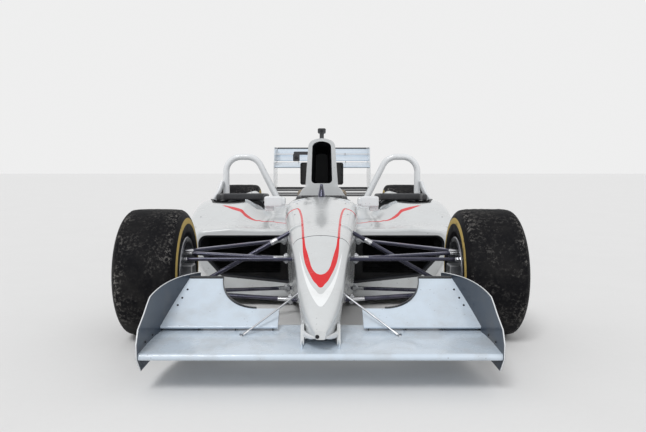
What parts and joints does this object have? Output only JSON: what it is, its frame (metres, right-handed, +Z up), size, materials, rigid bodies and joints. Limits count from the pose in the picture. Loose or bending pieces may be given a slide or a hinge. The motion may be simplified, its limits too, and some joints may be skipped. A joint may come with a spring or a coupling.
{
  "type": "three-seat open wheel racing car",
  "caption": "Three-seat open wheel racing car with wings, pods that each hold a passenger under a roll hoop, and turning, steering wheels.",
  "frame": {"origin": "on the ground at the middle of the overall length and width", "axes": "+Z up, the nose points to -Y and +X is the driver's left"},
  "size_m": [2, 4.65, 1.158],
  "materials": {
    "white_bodywork": "gloss white paint with red and white stripes",
    "black_composite": "gloss black woven composite",
    "endplate_composite": "blue-grey composite with a white edge",
    "slick_rubber": "worn slick tread with a gold side band",
    "wheel_alloy": "machined and coated alloy",
    "steel_parts": "turned steel",
    "carrier_alloy": "milled alloy, dark",
    "engine_casting": "cast casing",
    "seat_cloth": "black padded cloth",
    "collar_foam": "covered foam",
    "core_fins": "dark finned core",
    "red_lens": "red lens",
    "wheel_grip": "black suede grip",
    "heat_steel": "heat-tinted pipe"
  },
  "bodies": {
    "chassis": {"monocoque": "white_bodywork", "nose_cone": "white_bodywork", "front_wing": "white_bodywork", "front_flaps": "white_bodywork", "front_endplates": "endplate_composite", "pod_left": "white_bodywork", "pod_right": "white_bodywork", "pod_radiators": "core_fins", "engine_cover": "white_bodywork", "engine_block": "engine_casting", "gearbox": "engine_casting", "floor": "black_composite", "diffuser": "black_composite", "rear_wing": "white_bodywork", "rear_beam_wing": "black_composite", "rear_endplates": "white_bodywork", "roll_hoops": "white_bodywork", "mirrors": "white_bodywork", "driver_seat": "seat_cloth", "passenger_seats": "seat_cloth", "head_surrounds": "collar_foam", "cowl_fin": "black_composite", "camera_mounts": "black_composite", "rain_light": "red_lens", "exhausts": "heat_steel", "front_wishbones": "black_composite", "front_pushrods": "black_composite", "rear_wishbones": "black_composite", "rear_uprights": "carrier_alloy", "wing_stays": "steel_parts", "shoulder_ducts": "black_composite"},
    "front_knuckle_left": {"front_upright_left": "carrier_alloy"},
    "front_knuckle_right": {"front_upright_right": "carrier_alloy"},
    "front_wheel_left": {"front_tyre_left": "slick_rubber", "front_rim_left": "wheel_alloy"},
    "front_wheel_right": {"front_tyre_right": "slick_rubber", "front_rim_right": "wheel_alloy"},
    "rear_wheel_left": {"rear_tyre_left": "slick_rubber", "rear_rim_left": "wheel_alloy", "driveshaft_left": "steel_parts"},
    "rear_wheel_right": {"rear_tyre_right": "slick_rubber", "rear_rim_right": "wheel_alloy", "driveshaft_right": "steel_parts"},
    "steering_rack": {"track_rods": "black_composite"},
    "steering_wheel": {"steering_wheel": "wheel_grip"}
  },
  "joints": [
    {"name": "left_steer", "type": "hinge", "parent": "chassis", "child": "front_knuckle_left", "pos_m": [0.75, -1.415, 0.325], "axis": [0, 0, 1], "range_deg": [-14, 14]},
    {"name": "right_steer", "type": "hinge", "parent": "chassis", "child": "front_knuckle_right", "pos_m": [-0.75, -1.415, 0.325], "axis": [0, 0, 1], "range_deg": [-14, 14]},
    {"name": "rack_slide", "type": "slide", "parent": "chassis", "child": "steering_rack", "axis": [1, 0, 0], "range_m": [-0.0246, 0.0246]},
    {"name": "wheel_turn", "type": "hinge", "parent": "chassis", "child": "steering_wheel", "pos_m": [0, -0.115, 0.5], "axis": [0, 0.9703, 0.2419], "range_deg": [-141, 141]},
    {"name": "front_left_spin", "type": "hinge", "parent": "front_knuckle_left", "child": "front_wheel_left", "pos_m": [0.845, -1.415, 0.325], "axis": [1, 0, 0], "continuous": true},
    {"name": "front_right_spin", "type": "hinge", "parent": "front_knuckle_right", "child": "front_wheel_right", "pos_m": [-0.845, -1.415, 0.325], "axis": [1, 0, 0], "continuous": true},
    {"name": "rear_left_spin", "type": "hinge", "parent": "chassis", "child": "rear_wheel_left", "pos_m": [0.81, 1.685, 0.33], "axis": [1, 0, 0], "continuous": true},
    {"name": "rear_right_spin", "type": "hinge", "parent": "chassis", "child": "rear_wheel_right", "pos_m": [-0.81, 1.685, 0.33], "axis": [1, 0, 0], "continuous": true}
  ],
  "couplings": [
    {"joint": "right_steer", "follows": "left_steer", "ratio": 1},
    {"joint": "rack_slide", "follows": "left_steer", "m_per_rad": 0.0995},
    {"joint": "wheel_turn", "follows": "left_steer", "ratio": 10}
  ]
}
